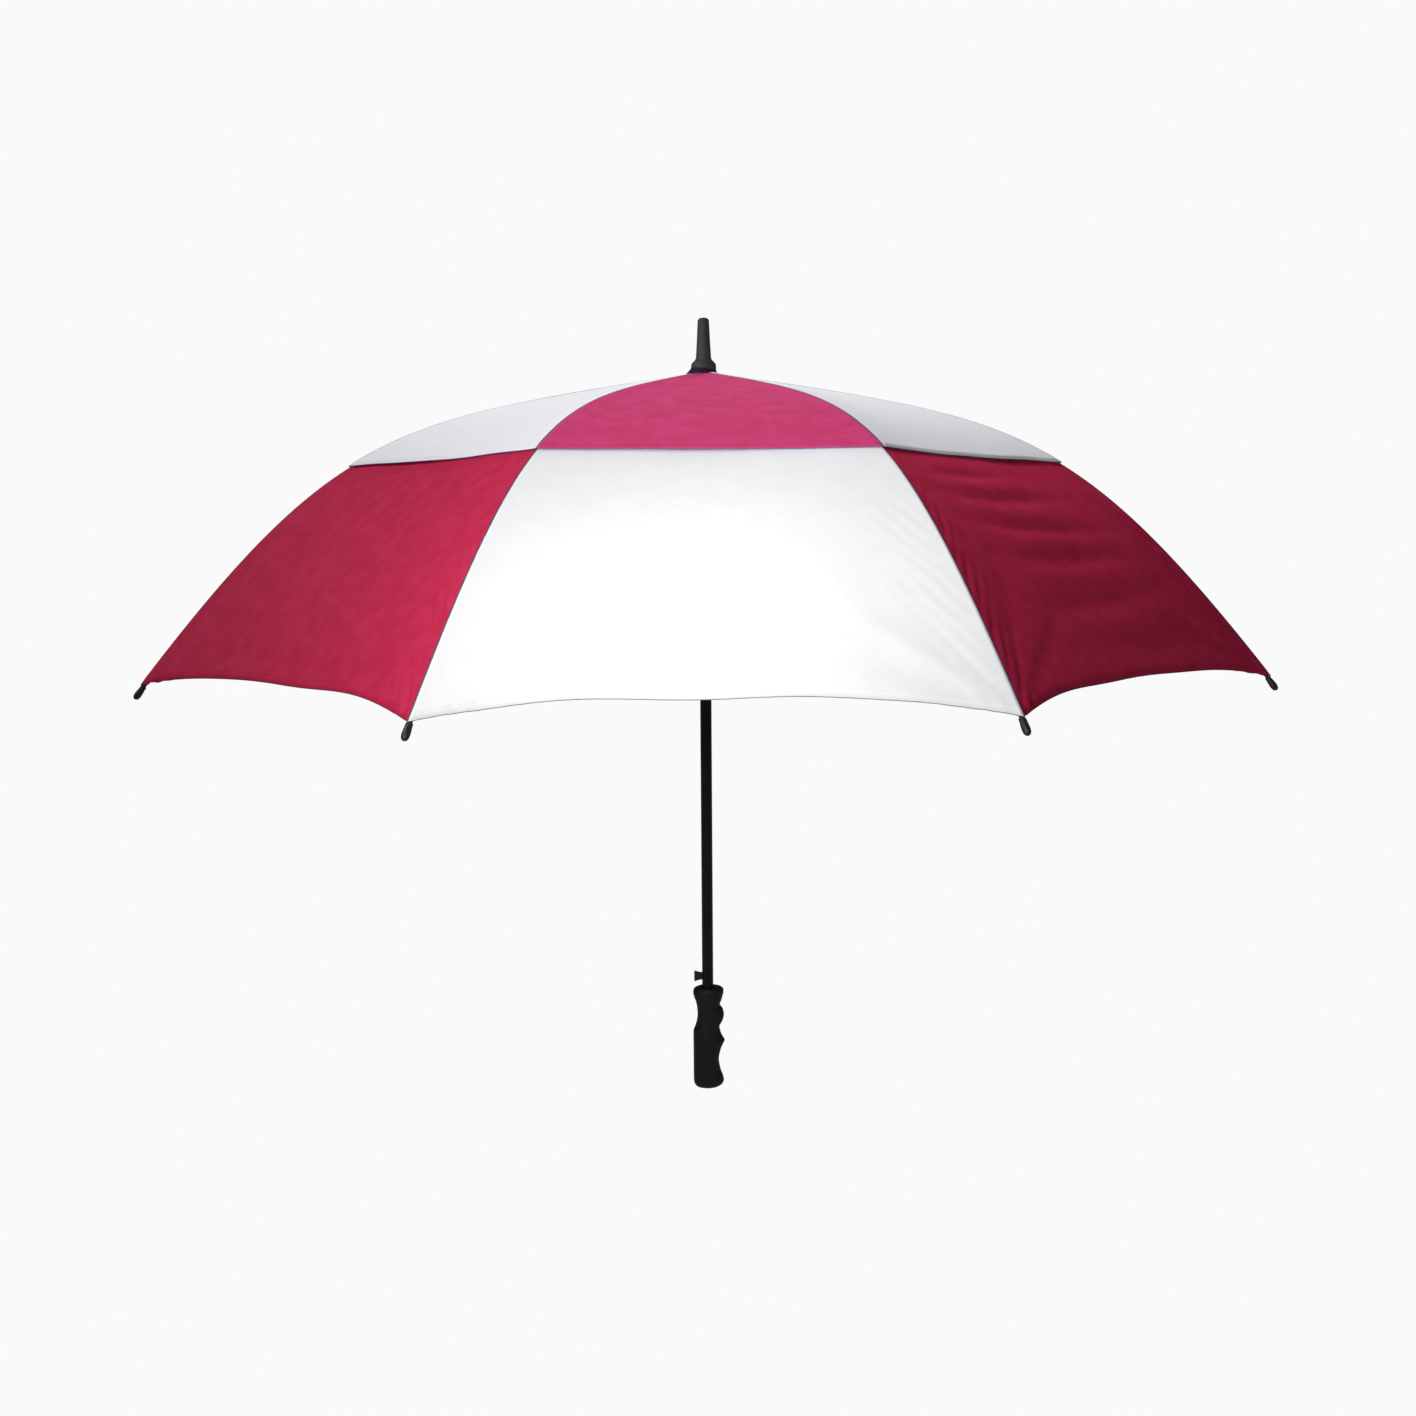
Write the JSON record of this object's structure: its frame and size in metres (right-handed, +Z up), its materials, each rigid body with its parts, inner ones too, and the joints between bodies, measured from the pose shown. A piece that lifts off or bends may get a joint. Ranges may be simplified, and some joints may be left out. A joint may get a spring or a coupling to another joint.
{
  "type": "golf umbrella",
  "caption": "Vented golf umbrella with a double canopy, hinged ribs and stretchers, a sprung runner on a straight shaft, a release button and a pistol grip.",
  "frame": {"origin": "middle of the flat butt of the grip, on the shaft's axis", "axes": "+Z up the shaft towards the ferrule; -X is the side the release button is on; the front gore faces -Y"},
  "size_m": [1.2064, 1.2064, 0.954],
  "materials": {
    "canopy_red": "woven polyester, crimson",
    "canopy_white": "woven polyester, white",
    "rib_fibreglass": "black pultruded fibreglass",
    "frame_steel": "plated steel",
    "black_plastic": "moulded black",
    "shaft_paint": "gloss black paint",
    "ferrule_plastic": "moulded charcoal",
    "grip_plastic": "moulded soft-touch black"
  },
  "bodies": {
    "shaft": {"shaft_tube": "shaft_paint", "top_notch": "black_plastic", "notch_wire": "frame_steel", "canopy_washer": "black_plastic", "ferrule": "ferrule_plastic", "grip": "grip_plastic", "button_spring": "frame_steel"},
    "rib_1": {"rib_inner_1": "rib_fibreglass"},
    "rib_end_1": {"rib_outer_1": "rib_fibreglass", "rib_tip_1": "black_plastic"},
    "stretcher_1": {"stretcher_1": "frame_steel"},
    "rib_2": {"rib_inner_2": "rib_fibreglass"},
    "rib_end_2": {"rib_outer_2": "rib_fibreglass", "rib_tip_2": "black_plastic"},
    "stretcher_2": {"stretcher_2": "frame_steel"},
    "rib_3": {"rib_inner_3": "rib_fibreglass"},
    "rib_end_3": {"rib_outer_3": "rib_fibreglass", "rib_tip_3": "black_plastic"},
    "stretcher_3": {"stretcher_3": "frame_steel"},
    "rib_4": {"rib_inner_4": "rib_fibreglass"},
    "rib_end_4": {"rib_outer_4": "rib_fibreglass", "rib_tip_4": "black_plastic"},
    "stretcher_4": {"stretcher_4": "frame_steel"},
    "rib_5": {"rib_inner_5": "rib_fibreglass"},
    "rib_end_5": {"rib_outer_5": "rib_fibreglass", "rib_tip_5": "black_plastic"},
    "stretcher_5": {"stretcher_5": "frame_steel"},
    "rib_6": {"rib_inner_6": "rib_fibreglass"},
    "rib_end_6": {"rib_outer_6": "rib_fibreglass", "rib_tip_6": "black_plastic"},
    "stretcher_6": {"stretcher_6": "frame_steel"},
    "rib_7": {"rib_inner_7": "rib_fibreglass"},
    "rib_end_7": {"rib_outer_7": "rib_fibreglass", "rib_tip_7": "black_plastic"},
    "stretcher_7": {"stretcher_7": "frame_steel"},
    "rib_8": {"rib_inner_8": "rib_fibreglass"},
    "rib_end_8": {"rib_outer_8": "rib_fibreglass", "rib_tip_8": "black_plastic"},
    "stretcher_8": {"stretcher_8": "frame_steel"},
    "runner": {"runner": "black_plastic", "runner_wire": "frame_steel", "main_spring": "frame_steel", "spring_cap": "black_plastic"},
    "upper_gore_1": {"upper_gore_1": "canopy_red"},
    "lower_gore_1": {"lower_gore_1": "canopy_white"},
    "upper_gore_2": {"upper_gore_2": "canopy_white"},
    "lower_gore_2": {"lower_gore_2": "canopy_red"},
    "upper_gore_3": {"upper_gore_3": "canopy_red"},
    "lower_gore_3": {"lower_gore_3": "canopy_white"},
    "upper_gore_4": {"upper_gore_4": "canopy_white"},
    "lower_gore_4": {"lower_gore_4": "canopy_red"},
    "upper_gore_5": {"upper_gore_5": "canopy_red"},
    "lower_gore_5": {"lower_gore_5": "canopy_white"},
    "upper_gore_6": {"upper_gore_6": "canopy_white"},
    "lower_gore_6": {"lower_gore_6": "canopy_red"},
    "upper_gore_7": {"upper_gore_7": "canopy_red"},
    "lower_gore_7": {"lower_gore_7": "canopy_white"},
    "upper_gore_8": {"upper_gore_8": "canopy_white"},
    "lower_gore_8": {"lower_gore_8": "canopy_red"},
    "button": {"release_button": "black_plastic"}
  },
  "joints": [
    {"name": "fold", "type": "hinge", "parent": "shaft", "child": "rib_1", "pos_m": [0.00498, -0.01201, 0.88265], "axis": [0.9239, 0.3827, 0], "range_deg": [0, 73.4], "stiffness_Nm_per_rad": 4, "springref_deg": -71.62},
    {"name": "rib_flex_1", "type": "hinge", "parent": "rib_1", "child": "rib_end_1", "pos_m": [0.13825, -0.33377, 0.79914], "axis": [0.9239, 0.3827, 0], "range_deg": [-27, 0]},
    {"name": "stretcher_hinge_1", "type": "hinge", "parent": "rib_1", "child": "stretcher_1", "pos_m": [0.13315, -0.32146, 0.79542], "axis": [0.9239, 0.3827, 0], "range_deg": [-148, 0]},
    {"name": "rib_hinge_2", "type": "hinge", "parent": "shaft", "child": "rib_2", "pos_m": [0.01201, -0.00498, 0.88265], "axis": [0.3827, 0.9239, 0], "range_deg": [0, 73.4]},
    {"name": "rib_flex_2", "type": "hinge", "parent": "rib_2", "child": "rib_end_2", "pos_m": [0.33377, -0.13825, 0.79914], "axis": [0.3827, 0.9239, 0], "range_deg": [-27, 0]},
    {"name": "stretcher_hinge_2", "type": "hinge", "parent": "rib_2", "child": "stretcher_2", "pos_m": [0.32146, -0.13315, 0.79542], "axis": [0.3827, 0.9239, 0], "range_deg": [-148, 0]},
    {"name": "rib_hinge_3", "type": "hinge", "parent": "shaft", "child": "rib_3", "pos_m": [0.01201, 0.00498, 0.88265], "axis": [-0.3827, 0.9239, 0], "range_deg": [0, 73.4]},
    {"name": "rib_flex_3", "type": "hinge", "parent": "rib_3", "child": "rib_end_3", "pos_m": [0.33377, 0.13825, 0.79914], "axis": [-0.3827, 0.9239, 0], "range_deg": [-27, 0]},
    {"name": "stretcher_hinge_3", "type": "hinge", "parent": "rib_3", "child": "stretcher_3", "pos_m": [0.32146, 0.13315, 0.79542], "axis": [-0.3827, 0.9239, 0], "range_deg": [-148, 0]},
    {"name": "rib_hinge_4", "type": "hinge", "parent": "shaft", "child": "rib_4", "pos_m": [0.00498, 0.01201, 0.88265], "axis": [-0.9239, 0.3827, 0], "range_deg": [0, 73.4]},
    {"name": "rib_flex_4", "type": "hinge", "parent": "rib_4", "child": "rib_end_4", "pos_m": [0.13825, 0.33377, 0.79914], "axis": [-0.9239, 0.3827, 0], "range_deg": [-27, 0]},
    {"name": "stretcher_hinge_4", "type": "hinge", "parent": "rib_4", "child": "stretcher_4", "pos_m": [0.13315, 0.32146, 0.79542], "axis": [-0.9239, 0.3827, 0], "range_deg": [-148, 0]},
    {"name": "rib_hinge_5", "type": "hinge", "parent": "shaft", "child": "rib_5", "pos_m": [-0.00498, 0.01201, 0.88265], "axis": [-0.9239, -0.3827, 0], "range_deg": [0, 73.4]},
    {"name": "rib_flex_5", "type": "hinge", "parent": "rib_5", "child": "rib_end_5", "pos_m": [-0.13825, 0.33377, 0.79914], "axis": [-0.9239, -0.3827, 0], "range_deg": [-27, 0]},
    {"name": "stretcher_hinge_5", "type": "hinge", "parent": "rib_5", "child": "stretcher_5", "pos_m": [-0.13315, 0.32146, 0.79542], "axis": [-0.9239, -0.3827, 0], "range_deg": [-148, 0]},
    {"name": "rib_hinge_6", "type": "hinge", "parent": "shaft", "child": "rib_6", "pos_m": [-0.01201, 0.00498, 0.88265], "axis": [-0.3827, -0.9239, 0], "range_deg": [0, 73.4]},
    {"name": "rib_flex_6", "type": "hinge", "parent": "rib_6", "child": "rib_end_6", "pos_m": [-0.33377, 0.13825, 0.79914], "axis": [-0.3827, -0.9239, 0], "range_deg": [-27, 0]},
    {"name": "stretcher_hinge_6", "type": "hinge", "parent": "rib_6", "child": "stretcher_6", "pos_m": [-0.32146, 0.13315, 0.79542], "axis": [-0.3827, -0.9239, 0], "range_deg": [-148, 0]},
    {"name": "rib_hinge_7", "type": "hinge", "parent": "shaft", "child": "rib_7", "pos_m": [-0.01201, -0.00498, 0.88265], "axis": [0.3827, -0.9239, 0], "range_deg": [0, 73.4]},
    {"name": "rib_flex_7", "type": "hinge", "parent": "rib_7", "child": "rib_end_7", "pos_m": [-0.33377, -0.13825, 0.79914], "axis": [0.3827, -0.9239, 0], "range_deg": [-27, 0]},
    {"name": "stretcher_hinge_7", "type": "hinge", "parent": "rib_7", "child": "stretcher_7", "pos_m": [-0.32146, -0.13315, 0.79542], "axis": [0.3827, -0.9239, 0], "range_deg": [-148, 0]},
    {"name": "rib_hinge_8", "type": "hinge", "parent": "shaft", "child": "rib_8", "pos_m": [-0.00498, -0.01201, 0.88265], "axis": [0.9239, -0.3827, 0], "range_deg": [0, 73.4]},
    {"name": "rib_flex_8", "type": "hinge", "parent": "rib_8", "child": "rib_end_8", "pos_m": [-0.13825, -0.33377, 0.79914], "axis": [0.9239, -0.3827, 0], "range_deg": [-27, 0]},
    {"name": "stretcher_hinge_8", "type": "hinge", "parent": "rib_8", "child": "stretcher_8", "pos_m": [-0.13315, -0.32146, 0.79542], "axis": [0.9239, -0.3827, 0], "range_deg": [-148, 0]},
    {"name": "runner_hinge", "type": "hinge", "parent": "stretcher_1", "child": "runner", "pos_m": [0.00498, -0.01201, 0.70819], "axis": [0.9239, 0.3827, 0], "range_deg": [0, 74], "deforming": ["main_spring"]},
    {"name": "upper_gore_fold_1", "type": "hinge", "parent": "shaft", "child": "upper_gore_1", "pos_m": [0, -0.01201, 0.88658], "axis": [1, 0, 0], "range_deg": [0, 69], "deforming": ["upper_gore_1"]},
    {"name": "lower_gore_fold_1", "type": "hinge", "parent": "upper_gore_1", "child": "lower_gore_1", "pos_m": [0, -0.42917, 0.87234], "axis": [1, 0, 0], "range_deg": [-23, 0], "deforming": ["lower_gore_1"]},
    {"name": "upper_gore_fold_2", "type": "hinge", "parent": "shaft", "child": "upper_gore_2", "pos_m": [0.00849, -0.00849, 0.88658], "axis": [0.7071, 0.7071, 0], "range_deg": [0, 69], "deforming": ["upper_gore_2"]},
    {"name": "lower_gore_fold_2", "type": "hinge", "parent": "upper_gore_2", "child": "lower_gore_2", "pos_m": [0.30347, -0.30347, 0.87234], "axis": [0.7071, 0.7071, 0], "range_deg": [-23, 0], "deforming": ["lower_gore_2"]},
    {"name": "upper_gore_fold_3", "type": "hinge", "parent": "shaft", "child": "upper_gore_3", "pos_m": [0.01201, 0, 0.88658], "axis": [0, 1, 0], "range_deg": [0, 69], "deforming": ["upper_gore_3"]},
    {"name": "lower_gore_fold_3", "type": "hinge", "parent": "upper_gore_3", "child": "lower_gore_3", "pos_m": [0.42917, 0, 0.87234], "axis": [0, 1, 0], "range_deg": [-23, 0], "deforming": ["lower_gore_3"]},
    {"name": "upper_gore_fold_4", "type": "hinge", "parent": "shaft", "child": "upper_gore_4", "pos_m": [0.00849, 0.00849, 0.88658], "axis": [-0.7071, 0.7071, 0], "range_deg": [0, 69], "deforming": ["upper_gore_4"]},
    {"name": "lower_gore_fold_4", "type": "hinge", "parent": "upper_gore_4", "child": "lower_gore_4", "pos_m": [0.30347, 0.30347, 0.87234], "axis": [-0.7071, 0.7071, 0], "range_deg": [-23, 0], "deforming": ["lower_gore_4"]},
    {"name": "upper_gore_fold_5", "type": "hinge", "parent": "shaft", "child": "upper_gore_5", "pos_m": [0, 0.01201, 0.88658], "axis": [-1, 0, 0], "range_deg": [0, 69], "deforming": ["upper_gore_5"]},
    {"name": "lower_gore_fold_5", "type": "hinge", "parent": "upper_gore_5", "child": "lower_gore_5", "pos_m": [0, 0.42917, 0.87234], "axis": [-1, 0, 0], "range_deg": [-23, 0], "deforming": ["lower_gore_5"]},
    {"name": "upper_gore_fold_6", "type": "hinge", "parent": "shaft", "child": "upper_gore_6", "pos_m": [-0.00849, 0.00849, 0.88658], "axis": [-0.7071, -0.7071, 0], "range_deg": [0, 69], "deforming": ["upper_gore_6"]},
    {"name": "lower_gore_fold_6", "type": "hinge", "parent": "upper_gore_6", "child": "lower_gore_6", "pos_m": [-0.30347, 0.30347, 0.87234], "axis": [-0.7071, -0.7071, 0], "range_deg": [-23, 0], "deforming": ["lower_gore_6"]},
    {"name": "upper_gore_fold_7", "type": "hinge", "parent": "shaft", "child": "upper_gore_7", "pos_m": [-0.01201, 0, 0.88658], "axis": [0, -1, 0], "range_deg": [0, 69], "deforming": ["upper_gore_7"]},
    {"name": "lower_gore_fold_7", "type": "hinge", "parent": "upper_gore_7", "child": "lower_gore_7", "pos_m": [-0.42917, 0, 0.87234], "axis": [0, -1, 0], "range_deg": [-23, 0], "deforming": ["lower_gore_7"]},
    {"name": "upper_gore_fold_8", "type": "hinge", "parent": "shaft", "child": "upper_gore_8", "pos_m": [-0.00849, -0.00849, 0.88658], "axis": [0.7071, -0.7071, 0], "range_deg": [0, 69], "deforming": ["upper_gore_8"]},
    {"name": "lower_gore_fold_8", "type": "hinge", "parent": "upper_gore_8", "child": "lower_gore_8", "pos_m": [-0.30347, -0.30347, 0.87234], "axis": [0.7071, -0.7071, 0], "range_deg": [-23, 0], "deforming": ["lower_gore_8"]},
    {"name": "button_press", "type": "slide", "parent": "shaft", "child": "button", "axis": [1, 0, 0], "range_m": [0, 0.004], "stiffness_N_per_m": 600, "springref_m": -0.002, "deforming": ["button_spring"]}
  ],
  "couplings": [
    {"joint": "rib_flex_1", "follows": "fold", "ratio": -0.354},
    {"joint": "stretcher_hinge_1", "follows": "fold", "ratio": -2},
    {"joint": "rib_hinge_2", "follows": "fold", "ratio": 1},
    {"joint": "rib_flex_2", "follows": "fold", "ratio": -0.354},
    {"joint": "stretcher_hinge_2", "follows": "fold", "ratio": -2},
    {"joint": "rib_hinge_3", "follows": "fold", "ratio": 1},
    {"joint": "rib_flex_3", "follows": "fold", "ratio": -0.354},
    {"joint": "stretcher_hinge_3", "follows": "fold", "ratio": -2},
    {"joint": "rib_hinge_4", "follows": "fold", "ratio": 1},
    {"joint": "rib_flex_4", "follows": "fold", "ratio": -0.354},
    {"joint": "stretcher_hinge_4", "follows": "fold", "ratio": -2},
    {"joint": "rib_hinge_5", "follows": "fold", "ratio": 1},
    {"joint": "rib_flex_5", "follows": "fold", "ratio": -0.354},
    {"joint": "stretcher_hinge_5", "follows": "fold", "ratio": -2},
    {"joint": "rib_hinge_6", "follows": "fold", "ratio": 1},
    {"joint": "rib_flex_6", "follows": "fold", "ratio": -0.354},
    {"joint": "stretcher_hinge_6", "follows": "fold", "ratio": -2},
    {"joint": "rib_hinge_7", "follows": "fold", "ratio": 1},
    {"joint": "rib_flex_7", "follows": "fold", "ratio": -0.354},
    {"joint": "stretcher_hinge_7", "follows": "fold", "ratio": -2},
    {"joint": "rib_hinge_8", "follows": "fold", "ratio": 1},
    {"joint": "rib_flex_8", "follows": "fold", "ratio": -0.354},
    {"joint": "stretcher_hinge_8", "follows": "fold", "ratio": -2},
    {"joint": "runner_hinge", "follows": "fold", "ratio": 1},
    {"joint": "upper_gore_fold_1", "follows": "fold", "ratio": 0.93},
    {"joint": "lower_gore_fold_1", "follows": "fold", "ratio": -0.31},
    {"joint": "upper_gore_fold_2", "follows": "fold", "ratio": 0.93},
    {"joint": "lower_gore_fold_2", "follows": "fold", "ratio": -0.31},
    {"joint": "upper_gore_fold_3", "follows": "fold", "ratio": 0.93},
    {"joint": "lower_gore_fold_3", "follows": "fold", "ratio": -0.31},
    {"joint": "upper_gore_fold_4", "follows": "fold", "ratio": 0.93},
    {"joint": "lower_gore_fold_4", "follows": "fold", "ratio": -0.31},
    {"joint": "upper_gore_fold_5", "follows": "fold", "ratio": 0.93},
    {"joint": "lower_gore_fold_5", "follows": "fold", "ratio": -0.31},
    {"joint": "upper_gore_fold_6", "follows": "fold", "ratio": 0.93},
    {"joint": "lower_gore_fold_6", "follows": "fold", "ratio": -0.31},
    {"joint": "upper_gore_fold_7", "follows": "fold", "ratio": 0.93},
    {"joint": "lower_gore_fold_7", "follows": "fold", "ratio": -0.31},
    {"joint": "upper_gore_fold_8", "follows": "fold", "ratio": 0.93},
    {"joint": "lower_gore_fold_8", "follows": "fold", "ratio": -0.31}
  ]
}
